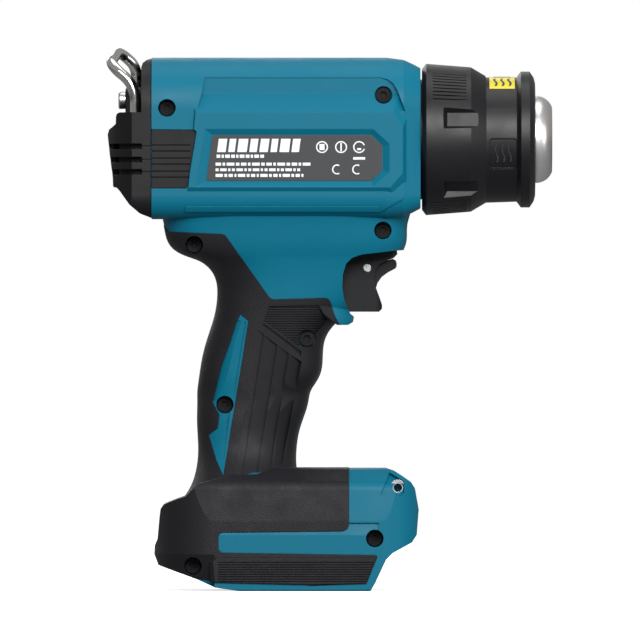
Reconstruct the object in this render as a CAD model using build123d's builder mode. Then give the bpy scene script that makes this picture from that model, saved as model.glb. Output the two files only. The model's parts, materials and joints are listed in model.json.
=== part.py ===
from build123d import *
import os
from math import copysign, cos, pi, sin

# A cordless heat gun, standing on its battery foot. Millimetres, +X along the air stream,
# +Y to the tool's left, +Z up. The origin is under the middle of the tool, on the floor.

# ---- driving dimensions -------------------------------------------------------------------
AXIS_Z = 180.2  # height of the air path
BARREL_REAR = -70.6
BARREL_FRONT = 36.7
BARREL_TOP = 212.8
BARREL_BOTTOM = 148.4
BARREL_HALF = 31.8
BARREL_TOP_ROUND = 20.0
BARREL_LOW_ROUND = 9.0

SKIN = 1.6  # thickness of the soft overmould
PROUD = 0.2  # how far the overmould stands above the hard shell
WALL = 3.8  # outer surface to inner cavity

BAND_HALF = 33.0  # raised side band, half width over both sides
BAND_DEPTH = 7.5
GROOVE_HALF = 27.6  # floor of the long groove above the band
LABEL_DEPTH = 1.4
LABEL_THICKNESS = 0.3

FOOT_HALF = 38.1
CHANNEL_HALF = 29.0  # battery channel between the rail lips
CHANNEL_GROOVE_HALF = 32.6
CHANNEL_TOP = 14.5
CHANNEL_REAR = -50.0

SCREW_HEAD_R = 3.0
SCREW_HEAD_H = 2.4
SCREW_SHANK_R = 1.5
SCREW_BORE_R = 3.5
SCREW_GRIP = 9.0  # how far each screw reaches into the left half
BOSS_R = 4.3
# place along X, height, depth of the head seat from the middle, boss radius
SCREWS = [
    (-64.4, 192.5, 24.0, BOSS_R),
    (21.9, 197.7, 24.0, 3.9),
    (21.7, 143.7, 16.0, BOSS_R),
    (-53.6, 138.0, 13.0, BOSS_R),
    (-8.6, 100.6, 11.5, BOSS_R),
    (-41.4, 74.2, 9.0, BOSS_R),
    (-54.0, 10.0, 27.0, BOSS_R),
    (18.4, 21.0, 30.0, BOSS_R),
]

TRIGGER_TRAVEL = 6.0
TRIGGER_DIR = Vector(-0.9928, 0, -0.1197)
TRIGGER_HALF = 8.6
TRIGGER_GAP = 0.35
PIN_X, PIN_Z, PIN_R = 15.5, 128.8, 1.5
LEVER_HALF = 6.0
STEM_R = 2.0
STEM_START = Vector(4.0, 0, 124.0)
STEM_LENGTH = 14.0

RING_WIRE_R = 2.2
RING_PIVOT_X, RING_PIVOT_Z = -77.1, 187.4
RING_HALF = 11.5
RUNNING_GAP = 0.05

NOZZLE_R = 17.4
NOZZLE_TIP = 89.4
HOOK_X, HOOK_Z = 27.6, 41.2
HOOK_SEAT = 33.6  # outer end of the threaded insert
HOOK_HOLE_R = 2.05
HOOK_THREAD_R = 1.65
INSERT_R = 3.2
INSERT_LENGTH = 8.0

AIR_AXIS = Axis((0, 0, AXIS_Z), (1, 0, 0))
SHAFT_R = 1.15
os.makedirs("parts", exist_ok=True)


# ---- shared shapes ------------------------------------------------------------------------
def side_prism(points, half):
    """A closed outline in the X-Z plane, pushed out to both sides of the middle plane."""
    with BuildPart() as shape:
        with BuildSketch(Plane.XZ):
            with BuildLine():
                Polyline(*points, close=True)
            make_face()
        extrude(amount=half, both=True)
    return shape.part


def right_prism(points, reach):
    """The same outline, pushed out to the tool's right only."""
    with BuildPart() as shape:
        with BuildSketch(Plane.XZ):
            with BuildLine():
                Polyline(*points, close=True)
            make_face()
        extrude(amount=reach)
    return shape.part


def side_slab(points, near, far, rounds=0.0):
    """The same outline between two distances from the middle plane, on both sides."""
    with BuildPart() as shape:
        for reach in (near, -near):
            with BuildSketch(Plane.XZ.offset(reach)):
                with BuildLine():
                    if rounds:
                        FilletPolyline(*points, radius=rounds, close=True)
                    else:
                        Polyline(*points, close=True)
                make_face()
            extrude(amount=copysign(far - near, reach))
    return shape.part


def around_air(part, angle):
    """Turn a part about the air path; 0 faces the tool's right, positive angles go up."""
    return part.rotate(AIR_AXIS, -angle)


def turned(points):
    """A closed profile of (along X, radius) points revolved about the air path."""
    with BuildPart() as shape:
        with BuildSketch(Plane.XZ):
            with BuildLine():
                Polyline(*[(x, AXIS_Z + r) for x, r in points], close=True)
            make_face()
        revolve(axis=AIR_AXIS)
    return shape.part


def cross_rod(x, z, radius, low_y, high_y):
    """A cylinder across the tool, from one Y to another."""
    with BuildPart() as shape:
        with BuildSketch(Plane.XZ.offset(-low_y)):
            with Locations((x, z)):
                Circle(radius)
        extrude(amount=-(high_y - low_y))
    return shape.part


def block(low, high):
    """A box between two corners."""
    size = [high[i] - low[i] for i in range(3)]
    middle = [(high[i] + low[i]) / 2 for i in range(3)]
    with BuildPart() as shape:
        with Locations(tuple(middle)):
            Box(*size)
    return shape.part


def tapered_slab(outer, inner, outer_reach, inner_reach):
    """A slab on the right whose outline changes between two distances off the middle."""
    with BuildPart() as shape:
        for outline, reach in ((outer, outer_reach), (inner, inner_reach)):
            with BuildSketch(Plane.XZ.offset(reach)):
                with BuildLine():
                    Polyline(*outline, close=True)
                make_face()
        loft(ruled=True)
    return shape.part


def grown(points, left, right, low, high):
    """An outline whose corners move out by a stated amount on each side."""
    middle_x = sum(x for x, z in points) / len(points)
    middle_z = sum(z for x, z in points) / len(points)
    return [(x + (right if x > middle_x else -left), z + (high if z > middle_z else -low))
            for x, z in points]


# ---- outer form ---------------------------------------------------------------------------
# where the barrel narrows toward its front: place along X, how far the surface has come in
FRONT_TAPER = [(23.0, 0.0), (29.9, 0.9), (33.9, 2.7), (BARREL_FRONT, 4.2)]


def barrel_section(place, inset):
    """Rounded rectangular section of the barrel."""
    with BuildSketch(Plane.YZ.offset(place)) as section:
        with Locations((0, (BARREL_TOP + BARREL_BOTTOM) / 2)):
            Rectangle(2 * (BARREL_HALF - inset), BARREL_TOP - BARREL_BOTTOM - 2 * inset)
        corners = vertices().sort_by(Axis.Y)
        fillet(corners[:2], BARREL_LOW_ROUND - min(inset, 6))
        corners = vertices().sort_by(Axis.Y)
        fillet(corners[-2:], BARREL_TOP_ROUND - inset)
    return section.sketch


def barrel(inset, rear=BARREL_REAR, front=BARREL_FRONT):
    """The motor and heater barrel, the same section all along."""
    with BuildPart() as shape:
        extrude(barrel_section(rear, inset), amount=front - rear)
    return shape.part


def tapered_barrel(inset, rear=BARREL_REAR):
    """The barrel with its front end narrowing."""
    start = FRONT_TAPER[0][0]
    with BuildPart() as shape:
        extrude(barrel_section(rear, inset), amount=start - rear)
        rings = []
        for place, shrink in FRONT_TAPER:
            share = (place - start) / (BARREL_FRONT - start)
            rings.append(barrel_section(place - share * inset, inset + shrink))
        loft(sections=rings, ruled=True)
    return shape.part


# height, rear X, front X, half width, squareness of the section
HANDLE_SECTIONS = [
    (34.0, -59.0, -3.0, 30.0, 3.4),
    (39.0, -56.4, -8.8, 28.0, 3.1),
    (44.0, -53.9, -11.5, 25.2, 2.9),
    (49.0, -52.6, -12.9, 21.8, 2.7),
    (54.0, -52.0, -13.1, 18.9, 2.6),
    (61.0, -52.1, -12.4, 17.2, 2.6),
    (71.0, -52.4, -9.4, 17.0, 2.6),
    (83.0, -51.9, -5.2, 17.4, 2.6),
    (95.0, -49.9, -2.4, 18.0, 2.6),
    (104.0, -47.2, 0.4, 18.6, 2.6),
    (110.0, -45.4, 7.0, 19.2, 2.8),
    (118.0, -44.3, 18.0, 20.2, 3.0),
    (124.0, -44.9, 24.0, 21.0, 3.2),
    (128.5, -47.4, 27.5, 21.8, 3.4),
    (132.0, -52.5, 28.4, 22.6, 3.8),
    (134.5, -59.0, 29.2, 23.4, 4.2),
    (137.5, -62.8, 30.7, 24.4, 4.4),
    (142.0, -64.8, 31.4, 25.4, 4.5),
    (148.0, -66.0, 32.0, 26.6, 4.5),
    (154.0, -67.5, 32.4, 27.6, 4.5),
    (160.0, -69.0, 32.8, 28.4, 4.5),
]
SECTION_POINTS = 16


def column(sections, inset):
    """An upright form lofted through rounded sections."""
    with BuildPart() as shape:
        for height, rear, front, half, squareness in sections:
            middle = (rear + front) / 2
            reach = (front - rear) / 2 - inset
            width = half - inset
            loop = []
            for step in range(SECTION_POINTS):
                turn = 2 * pi * step / SECTION_POINTS
                along = copysign(abs(cos(turn)) ** (2 / squareness), cos(turn))
                across = copysign(abs(sin(turn)) ** (2 / squareness), sin(turn))
                loop.append((middle + reach * along, width * across))
            with BuildSketch(Plane.XY.offset(height)):
                with BuildLine():
                    Spline(*loop, periodic=True)
                make_face()
        loft()
    return shape.part


FOOT_SIDE = [
    (-30, 48.8), (-52, 42.5), (-56.8, 37.6), (-62.2, 35.7), (-65.7, 34.2), (-66.8, 32.6),
    (-67.2, 29.5), (-68, 20.7), (-69.2, 18), (-69.4, 14.1), (-68.4, 10.6), (-54.9, 5.8),
    (-45.4, 1.5), (-35.4, 0), (16.6, 0), (18.4, 2.8), (22.9, 12.5), (25.6, 15.2), (33.3, 19.4),
    (35.2, 22.4), (36, 32.4), (34.5, 40.8), (33.1, 43.0), (29.7, 45.4), (26.3, 47.6), (22.9, 48.8),
]
FOOT_FRONT = [
    (-FOOT_HALF, 0), (FOOT_HALF, 0), (FOOT_HALF, 28), (36.6, 42.6), (25.4, 48.8), (-25.4, 48.8),
    (-36.6, 42.6), (-FOOT_HALF, 28),
]
FOOT_FRONT_ROUNDS = [0.8, 0.8, 9, 4.5, 6, 6, 4.5, 9]
FOOT_LENGTH = 36 + 69.4
FOOT_MIDDLE = (36 - 69.4) / 2
CREASE_Z = 14.7  # below this height the rear of the foot tapers inward
CREASE_FRONT = -45.5
CREASE_TAPER = 20
PLAN_EASE = 0.03  # keeps the plan's straight sides just clear of the other outlines


def foot_plan(height, inset):
    """Plan outline of the foot, drawn at a height."""
    with BuildSketch(Plane.XY.offset(height)) as plan:
        with Locations((FOOT_MIDDLE, 0)):
            Rectangle(FOOT_LENGTH + 2 * (PLAN_EASE - inset), 2 * (FOOT_HALF + PLAN_EASE - inset))
        fillet(vertices().group_by(Axis.X)[0], 24 - inset)
        fillet(vertices().group_by(Axis.X)[-1], 15 - inset)
    return plan.sketch


def foot(inset):
    """Battery foot: plan, front and side outlines taken together."""
    with BuildPart() as shape:
        extrude(foot_plan(-1, inset), amount=60)
        with BuildSketch(Plane.YZ):
            with BuildLine():
                FilletPolyline(*FOOT_FRONT, radius=FOOT_FRONT_ROUNDS, close=True)
            make_face()
            if inset:
                offset(amount=-inset, kind=Kind.INTERSECTION, mode=Mode.REPLACE)
        extrude(amount=90, both=True, mode=Mode.INTERSECT)
        low_rear = block((-80, -50, -1), (CREASE_FRONT, 50, CREASE_Z))
        drafted = extrude(foot_plan(CREASE_Z, inset), amount=-20, taper=CREASE_TAPER,
                          mode=Mode.PRIVATE)
        add(low_rear - drafted, mode=Mode.SUBTRACT)
        with BuildSketch(Plane.XZ):
            with BuildLine():
                Polyline(*FOOT_SIDE, close=True)
            make_face()
            if inset:
                offset(amount=-inset, kind=Kind.INTERSECTION, mode=Mode.REPLACE)
        extrude(amount=60, both=True, mode=Mode.INTERSECT)
    return shape.part


LIP = [
    (-4, 112), (3.4, 106), (7.8, 106), (9.8, 107.2), (10.2, 109.2), (8.8, 111), (7.5, 116), (-4, 116),
]
LIP_SECTIONS = [
    (105.5, -30.0, 9.6, 18.3, 3.0),
    (109.0, -30.0, 10.4, 18.7, 3.0),
    (112.0, -30.0, 9.2, 19.1, 3.0),
    (116.5, -30.0, 8.2, 19.6, 3.0),
]
RECESS = [
    (50, 136.2), (28.4, 135.9), (13.2, 134.1), (9.4, 132.8), (7, 130.4), (5.7, 126), (5.5, 121),
    (6.3, 116), (8.8, 110.4), (10.6, 109.4), (11.4, 104), (50, 104),
]


def body(inset):
    """Everything hard and soft together, without the raised bands."""
    with BuildPart() as shape:
        add(tapered_barrel(inset))
        add(column(HANDLE_SECTIONS, inset))
        add(foot(inset))
        add(side_prism(LIP, 40) & column(LIP_SECTIONS, inset))
    return shape.part


# ---- overmould region seen from the side --------------------------------------------------
GRIP_EDGE = [
    (-80, 146.4), (-66.0, 146.2), (-64.2, 143.2), (-41.5, 142.3), (-23.0, 116.2), (0.3, 116.9),
    (2.4, 110), (4.6, 105.8), (16, 104.4), (16, 52), (8.2, 52), (8.2, 24.0), (-43.8, 23.4),
    (-43.8, 15.4), (19.8, 14.4), (14.9, 3), (-7.4, 2.1), (-9, 3.4), (-43.4, 3.7), (-54.6, 5.2),
    (-70, 9.2), (-80, 9.2),
]
GRIP_EDGE_ROUNDS = [
    0.3, 1.5, 1.2, 2.6, 3.0, 2.6, 3.0, 2.0, 0.3, 0.3, 0.3, 3.2, 2.0, 2.0, 0.8, 1.0, 0.3, 0.3, 0.5,
    0.5, 0.5, 0.3,
]
INLAY = [
    (-35.1, 110.2), (-32, 107.6), (-34.8, 90), (-41, 52), (-42, 46), (-44.7, 52), (-47.8, 62.2),
    (-44.2, 64.8), (-43.5, 70.2), (-46.2, 75.2), (-42.6, 90), (-39.2, 99), (-36.4, 107.8),
]
INLAY_LINE = [
    (-33.4, 107.2), (-38.4, 76.4), (-40.1, 70.3), (-42.2, 53), (-41.7, 53), (-39.6, 70.2),
    (-37.9, 76.3), (-32.9, 107.2),
]
INLAY_FACET = [(-34.9, 107.6), (-43.4, 76.4), (-46.8, 75.4), (-43.2, 90), (-39.8, 99), (-37.0, 108)]
# Slanting lines that split the palm panel into louvres: top, bottom, and how far off the
# middle plane the louvre to its right turns down into the handle.
PALM_LINES = [
    ((-28.6, 104.4), (-37.4, 46.2), 17.1),
    ((-25.9, 102.0), (-34.4, 46.3), 17.1),
    ((-20.4, 97.9), (-28.6, 46.6), 16.8),
    ((-15.8, 94.5), (-23.2, 48.3), 15.6),
    ((-10.7, 91.2), (-18.4, 50.7), 14.0),
]
PALM_TILT = 10
FACET_TILT = -12
INLAY_REACH = 17.2
THUMB_PAD = [
    (-23.5, 113.4), (-4, 113.8), (-0.6, 108.2), (-4.7, 102.7), (-11.5, 97.2), (-25.6, 107.5),
]
THUMB_RIDGE = [(-26.6, 105.6), (-25.9, 106.5), (-10.8, 95.2), (-10.9, 93.6)]
THUMB_RIBS = 17
THUMB_RIB_START = 97.8
THUMB_RIB_PITCH = 0.93


def side_tool(points, form):
    """What lies outside a form, within an outline on the tool's right."""
    return right_prism(points, 60) - form


def tipped(form, top, bottom, reach, angle):
    """A form turned about a slanting line on the tool's right."""
    foot_end = Vector(bottom[0], -reach, bottom[1])
    head_end = Vector(top[0], -reach, top[1])
    return form.rotate(Axis(foot_end, head_end - foot_end), angle)


def handle_part(low, high):
    """The handle's sections between two heights."""
    return [section for section in HANDLE_SECTIONS if low <= section[0] <= high]


PALM_SECTIONS = handle_part(44, 110)
THUMB_SECTIONS = handle_part(95, 124)
INLAY_SECTIONS = handle_part(49, 110)

with BuildPart() as grip_region:
    with BuildSketch(Plane.XZ):
        with BuildLine():
            FilletPolyline(*GRIP_EDGE, radius=GRIP_EDGE_ROUNDS, close=True)
        make_face()
    extrude(amount=60)

with BuildPart() as skin_layer:
    add(body(-PROUD))
    add(grip_region.part, mode=Mode.INTERSECT)
    add(side_prism(INLAY, 60), mode=Mode.SUBTRACT)
    add(side_prism(RECESS, 60), mode=Mode.SUBTRACT)
    add(body(SKIN), mode=Mode.SUBTRACT)

with BuildPart() as thumb_ribs:
    for count in range(THUMB_RIBS):
        height = THUMB_RIB_START + THUMB_RIB_PITCH * count
        add(block((-30, -60, height), (5, 0, height + THUMB_RIB_PITCH / 2)))
    add(right_prism(THUMB_PAD, 60), mode=Mode.INTERSECT)
    add(column(THUMB_SECTIONS, 0.6), mode=Mode.SUBTRACT)

soft_face = column(PALM_SECTIONS, -PROUD)
with BuildPart() as grip_grooves:
    for left, right in zip(PALM_LINES, PALM_LINES[1:]):
        strip = [left[0], right[0], right[1], left[1]]
        add(side_tool(strip, tipped(soft_face, left[0], left[1], left[2], PALM_TILT)))
    add(side_tool(THUMB_RIDGE, column(PALM_SECTIONS, 0.5)))
    add(side_tool(THUMB_PAD, column(THUMB_SECTIONS, 0.2)))
    add(thumb_ribs.part)

with BuildPart() as inlay_grooves:
    add(side_tool(INLAY_LINE, column(INLAY_SECTIONS, 0.4)))
    hard_face = column(INLAY_SECTIONS, 0)
    facet_face = tipped(hard_face, INLAY_FACET[0], INLAY_FACET[1], INLAY_REACH, FACET_TILT)
    add(side_tool(INLAY_FACET, facet_face))

# Ribbed pad along the rail side of the foot, standing proud of it.
PAD_BASE = [(-47.0, 3.4), (-8, 2.5), (15.4, 3.0), (19.9, 14.2), (-45.4, 14.2), (-47.6, 12.0)]
PAD_TOP = [(-45.2, 3.6), (-8, 2.7), (15.0, 3.2), (18.9, 13.2), (-44.6, 13.2), (-46.0, 11.6)]
PAD_PROUD = 0.9
RIB_PITCH = 0.95
RIB_DEPTH = 0.45
with BuildPart() as foot_ribs:
    for count in range(9):
        height = 3.6 + RIB_PITCH * count
        line = [(-60, height), (30, height), (30, height + 0.4), (-60, height + 0.4)]
        add(side_slab(line, FOOT_HALF + PAD_PROUD - RIB_DEPTH, FOOT_HALF + 2))
    add(side_prism([(-44, 2.9), (18, 2.9), (18, 12.6), (-44, 12.6)], 60), mode=Mode.INTERSECT)

with BuildPart() as screw_bores:
    for x, z, seat, boss in SCREWS:
        add(cross_rod(x, z, SCREW_BORE_R, -60, -seat))


with BuildPart() as grip_blank:
    add(skin_layer.part)
    add(tapered_slab(PAD_TOP, PAD_BASE, FOOT_HALF + PAD_PROUD, FOOT_HALF - 0.8))
    add(grip_grooves.part, mode=Mode.SUBTRACT)
    add(foot_ribs.part, mode=Mode.SUBTRACT)

with BuildPart() as grip_right:
    add(grip_blank.part)
    add(screw_bores.part, mode=Mode.SUBTRACT)
grip_right.part.label = "grip_right"
export_step(grip_right.part, "parts/grip_right.step")

with BuildPart() as grip_left:
    mirror(grip_blank.part, about=Plane.XZ)
grip_left.part.label = "grip_left"
export_step(grip_left.part, "parts/grip_left.step")


# ---- hard housing shells ------------------------------------------------------------------
BAND_FACE = [
    (-53.0, 190.8), (25.5, 190.8), (29.6, 184.6), (29.6, 166.4), (24.6, 160.8), (-55.8, 160.8),
]
GROOVE = [
    (-49.4, 204.6), (20.6, 204.6), (23.4, 204.0), (25.8, 202.3), (27.4, 199.6), (30.6, 191.2),
    (-52.4, 191.2), (-50.2, 199.6),
]
LOW_RIB = [
    (-57.4, 151.0), (20.4, 151.0), (29.8, 156.2), (29.4, 157.0), (20.0, 153.2), (-57.0, 153.2),
]
LOW_RIB_PROUD = 0.5
LABEL_RECESS = [
    (-49.4, 184.2), (17.8, 184.2), (24.4, 178.2), (24.4, 166.8), (17.8, 161.0), (-53.2, 161.0),
]
LABEL = [
    (-46.4, 181.8), (17.2, 181.8), (21.6, 177.4), (21.6, 167.6), (17.2, 163.4), (-48.8, 163.4),
]
VENT_PANEL = [(-72, 184.0), (-52.4, 183.8), (-56.3, 160.4), (-72, 160.4)]
PANEL_DEPTH = 1.2
PANEL_ROUND = 1.2


with BuildPart() as blank:
    add(body(0))
    add(block((-90, -60, -5), (60, 0, 230)), mode=Mode.INTERSECT)

RECESS_WALL = [
    (50, 139.0), (28.2, 138.7), (12.8, 137.1), (8, 135.6), (4.6, 132), (3.1, 126), (3.0, 121),
    (3.6, 115), (5.5, 109.6), (8, 104), (50, 104),
]
RAIL_ROOF = 17
FOOT_WALL = 2.8
with BuildPart() as cavity:
    add(column(HANDLE_SECTIONS, WALL))
    add(block((-80, -40, 0), (40, 40, RAIL_ROOF)), mode=Mode.SUBTRACT)
    add(foot(FOOT_WALL) & block((-80, -40, RAIL_ROOF), (40, 40, 60)))
    add(tapered_barrel(WALL - 0.2, BARREL_REAR - 5))
    add(side_prism(RECESS_WALL, 30), mode=Mode.SUBTRACT)

# The opening that the trigger slides in: its outline swept back along its travel.
TRIGGER_SIDE = [
    (3, 111.3), (20.2, 111.3), (21.4, 112.5), (21.4, 114.1), (20.2, 117.6), (19.0, 120.8),
    (18.3, 124.7), (18.8, 128.2), (20.4, 130.2), (23.2, 131.6), (26.2, 132.9), (27.6, 134.4),
    (27.2, 136.0), (15, 134.7), (3, 133.3),
]
SLOT_SIDE = [
    (-6, 109.9), (28.2, 109.9), (28.2, 136.6), (27, 136.4), (15, 135.15), (2, 133.7), (-6, 132.7),
]
with BuildPart() as boss_blank:
    for x, z, seat, boss in SCREWS:
        add(cross_rod(x, z, boss, -45, 0))
    add(block((19, -45, 33), (34, -20, 48)))
    add(body(WALL / 2), mode=Mode.INTERSECT)
    add(side_slab(GROOVE, GROOVE_HALF, 45), mode=Mode.SUBTRACT)
    rails = block((-80, -CHANNEL_GROOVE_HALF, -1), (40, CHANNEL_GROOVE_HALF, CHANNEL_TOP))
    add(rails, mode=Mode.SUBTRACT)

with BuildPart() as channel:
    add(block((CHANNEL_REAR, -CHANNEL_HALF, -1), (45, CHANNEL_HALF, CHANNEL_TOP)))
    for side in (-1, 1):
        low = (CHANNEL_REAR, min(side * (CHANNEL_HALF - 1), side * CHANNEL_GROOVE_HALF), 5.2)
        high = (45, max(side * (CHANNEL_HALF - 1), side * CHANNEL_GROOVE_HALF), 9.4)
        add(block(low, high))
    add(block((-47, -16, 10), (-15.5, 16, 25)))

HOOK_POCKET = [(20.8, 38.4), (24.2, 47.2), (30.2, 43.6), (30.2, 39.2), (28.9, 37.6)]
HOOK_POCKET_DEPTH = 1.1
STRIP_BEVEL = [
    (FOOT_HALF, 22.4), (FOOT_HALF - 0.9, 27.2), (FOOT_HALF + 5, 27.2), (FOOT_HALF + 5, 22.4),
]
with BuildPart() as strip_bevel:
    with BuildSketch(Plane.YZ.offset(-46)):
        with BuildLine():
            Polyline(*[(-across, height) for across, height in STRIP_BEVEL], close=True)
        make_face()
    extrude(amount=66)

with BuildPart() as low_rib:
    add(body(-LOW_RIB_PROUD))
    add(right_prism(LOW_RIB, 60), mode=Mode.INTERSECT)
    add(body(WALL / 2), mode=Mode.SUBTRACT)

with BuildPart() as shell_blank:
    add(blank.part)
    add(low_rib.part)
    add(side_slab(GROOVE, GROOVE_HALF, 45), mode=Mode.SUBTRACT)
    band_base = grown(BAND_FACE, 2.2, 4.2, 9.6, 10.4)
    add(tapered_slab(BAND_FACE, band_base, BAND_HALF, BAND_HALF - BAND_DEPTH))
    add(cavity.part, mode=Mode.SUBTRACT)
    add(boss_blank.part)
    add(skin_layer.part, mode=Mode.SUBTRACT)
    add(tapered_slab(PAD_TOP, PAD_BASE, FOOT_HALF + PAD_PROUD, FOOT_HALF - 0.8), mode=Mode.SUBTRACT)
    add(inlay_grooves.part, mode=Mode.SUBTRACT)
    add(strip_bevel.part, mode=Mode.SUBTRACT)
    add(side_prism(RECESS, 60), mode=Mode.SUBTRACT)
    add(channel.part, mode=Mode.SUBTRACT)
    add(side_prism(SLOT_SIDE, TRIGGER_HALF + TRIGGER_GAP), mode=Mode.SUBTRACT)
    label_seat = tapered_slab(LABEL_RECESS, LABEL, BAND_HALF + 0.05, BAND_HALF - LABEL_DEPTH)
    add(label_seat, mode=Mode.SUBTRACT)
    vent_seat = side_slab(VENT_PANEL, BARREL_HALF - PANEL_DEPTH, 45, PANEL_ROUND)
    add(vent_seat, mode=Mode.SUBTRACT)
    add(side_tool(HOOK_POCKET, foot(HOOK_POCKET_DEPTH)), mode=Mode.SUBTRACT)
    front_hole = turned([(20, 0), (60, 0), (60, NOZZLE_R + 1.1), (20, NOZZLE_R + 1.1)])
    add(front_hole, mode=Mode.SUBTRACT)

with BuildPart() as housing_right:
    add(shell_blank.part)
    add(screw_bores.part, mode=Mode.SUBTRACT)
    for x, z, seat, boss in SCREWS:
        add(cross_rod(x, z, SCREW_SHANK_R + 0.15, -seat - 1, 1), mode=Mode.SUBTRACT)
    add(cross_rod(HOOK_X, HOOK_Z, HOOK_HOLE_R, -40, -HOOK_SEAT), mode=Mode.SUBTRACT)
    add(cross_rod(HOOK_X, HOOK_Z, INSERT_R, -HOOK_SEAT, -HOOK_SEAT + INSERT_LENGTH),
        mode=Mode.SUBTRACT)
housing_right.part.label = "housing_right"
export_step(housing_right.part, "parts/housing_right.step")

with BuildPart() as housing_left:
    mirror(shell_blank.part, about=Plane.XZ)
    for x, z, seat, boss in SCREWS:
        add(cross_rod(x, z, SCREW_SHANK_R, -1, SCREW_GRIP), mode=Mode.SUBTRACT)
    add(cross_rod(HOOK_X, HOOK_Z, HOOK_HOLE_R, HOOK_SEAT, 40), mode=Mode.SUBTRACT)
    add(cross_rod(HOOK_X, HOOK_Z, INSERT_R, HOOK_SEAT - INSERT_LENGTH, HOOK_SEAT),
        mode=Mode.SUBTRACT)
housing_left.part.label = "housing_left"
export_step(housing_left.part, "parts/housing_left.step")


# ---- screws and inserts -------------------------------------------------------------------
with BuildPart() as housing_screws:
    for x, z, seat, boss in SCREWS:
        add(cross_rod(x, z, SCREW_HEAD_R, -seat - SCREW_HEAD_H, -seat))
        add(cross_rod(x, z, SCREW_SHANK_R - 0.05, -seat, SCREW_GRIP - 0.5))
        with BuildSketch(Plane.XZ.offset(seat + SCREW_HEAD_H)):
            with Locations((x, z)):
                RegularPolygon(1.5, 6)
        extrude(amount=-1.4, mode=Mode.SUBTRACT)
housing_screws.part.label = "housing_screws"
export_step(housing_screws.part, "parts/housing_screws.step")

for side, name in ((-1, "hook_insert_right"), (1, "hook_insert_left")):
    low, high = sorted((side * (HOOK_SEAT - INSERT_LENGTH), side * (HOOK_SEAT - 0.02)))
    with BuildPart() as insert:
        add(cross_rod(HOOK_X, HOOK_Z, INSERT_R - 0.02, low, high))
        add(cross_rod(HOOK_X, HOOK_Z, HOOK_THREAD_R, low - 1, high + 1), mode=Mode.SUBTRACT)
    insert.part.label = name
    export_step(insert.part, "parts/" + name + ".step")


# ---- labels and vent panels ---------------------------------------------------------------
LABEL_CORNER = 0.6
VENT_SLOTS = [177.6, 175.2, 172.4, 170.0, 167.2, 164.8]
VENT_LINE = 0.5
PANEL_GAP = 0.15
with BuildPart() as label_blank:
    with BuildSketch(Plane.XZ.offset(BAND_HALF - LABEL_DEPTH)):
        with BuildLine():
            FilletPolyline(*LABEL, radius=LABEL_CORNER, close=True)
        make_face()
        offset(amount=-PANEL_GAP, mode=Mode.REPLACE)
    extrude(amount=LABEL_THICKNESS)

VENT_PLATE = [(-70.4, 183.8), (-52.65, 183.6), (-56.45, 160.6), (-70.4, 160.6)]
VENT_PLATE_ROUNDS = [0.2, 1.0, 1.0, 0.2]
VENT_LINE_DEPTH = 0.7
with BuildPart() as vent_blank:
    with BuildSketch(Plane.XZ.offset(BARREL_HALF - PANEL_DEPTH)):
        with BuildLine():
            FilletPolyline(*VENT_PLATE, radius=VENT_PLATE_ROUNDS, close=True)
        make_face()
    extrude(amount=PANEL_DEPTH - 0.1)
    for height in VENT_SLOTS:
        line = [(-80, height - VENT_LINE / 2), (-55.2, height - VENT_LINE / 2),
                (-55.0, height + VENT_LINE / 2), (-80, height + VENT_LINE / 2)]
        add(side_slab(line, BARREL_HALF - 0.1 - VENT_LINE_DEPTH, 40), mode=Mode.SUBTRACT)

for blank_part, name in ((label_blank.part, "rating_label"), (vent_blank.part, "vent_panel")):
    for side in ("right", "left"):
        with BuildPart() as plate:
            if side == "right":
                add(blank_part)
            else:
                mirror(blank_part, about=Plane.XZ)
        plate.part.label = name + "_" + side
        export_step(plate.part, "parts/" + name + "_" + side + ".step")


# ---- rear cover with the ring's bracket ---------------------------------------------------
COVER_FRONT = -70.8
COVER_REAR = -74.7
COVER_SIDE = [
    (COVER_FRONT, 212.4), (-72.6, 211.8), (-74.1, 210.6), (COVER_REAR, 208.9),
    (COVER_REAR, 190.8), (-83.3, 190.8), (-84.4, 190.3), (-84.8, 189.2),
    (-84.9, 186.2), (-86.4, 184.9), (-87.6, 184), (-88.2, 182), (-87.2, 173), (-86.0, 164),
    (-85, 161.2), (-83.4, 159.6), (-79.4, 154), (-75.4, 150.6), (COVER_FRONT, 148.8),
]
SIDE_VENTS = [177.2, 171.9, 167.0]
REAR_VENTS = [208.4, 204.9]
COVER_WALL = 2.4
LEDGE_Z = 190.8
LUG_HALF = 8.9
SLOT_WIDTH = 5.2
DIAL_Z, DIAL_R = 170.0, 9.0


def cover_form(inset):
    """The cover's closed form: side, rear and plan outlines taken together."""
    with BuildPart() as shape:
        with BuildSketch(Plane.XZ):
            with BuildLine():
                Polyline(*COVER_SIDE, close=True)
            make_face()
            if inset:
                offset(amount=-inset, kind=Kind.INTERSECTION, mode=Mode.REPLACE)
        extrude(amount=50, both=True)
        add(barrel(inset + 0.2, -95, -60), mode=Mode.INTERSECT)
        with BuildSketch(Plane.XY.offset(140)):
            with BuildLine():
                Polyline((-60, -40), (-60, 40), (-78, 32 - inset))
                ThreePointArc((-78, 32 - inset), (-85.6 + inset, 22), (-88.4 + inset, 0))
                ThreePointArc((-88.4 + inset, 0), (-85.6 + inset, -22), (-78, -32 + inset))
                Line((-78, -32 + inset), (-60, -40))
            make_face()
        extrude(amount=80, mode=Mode.INTERSECT)
    return shape.part


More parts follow.
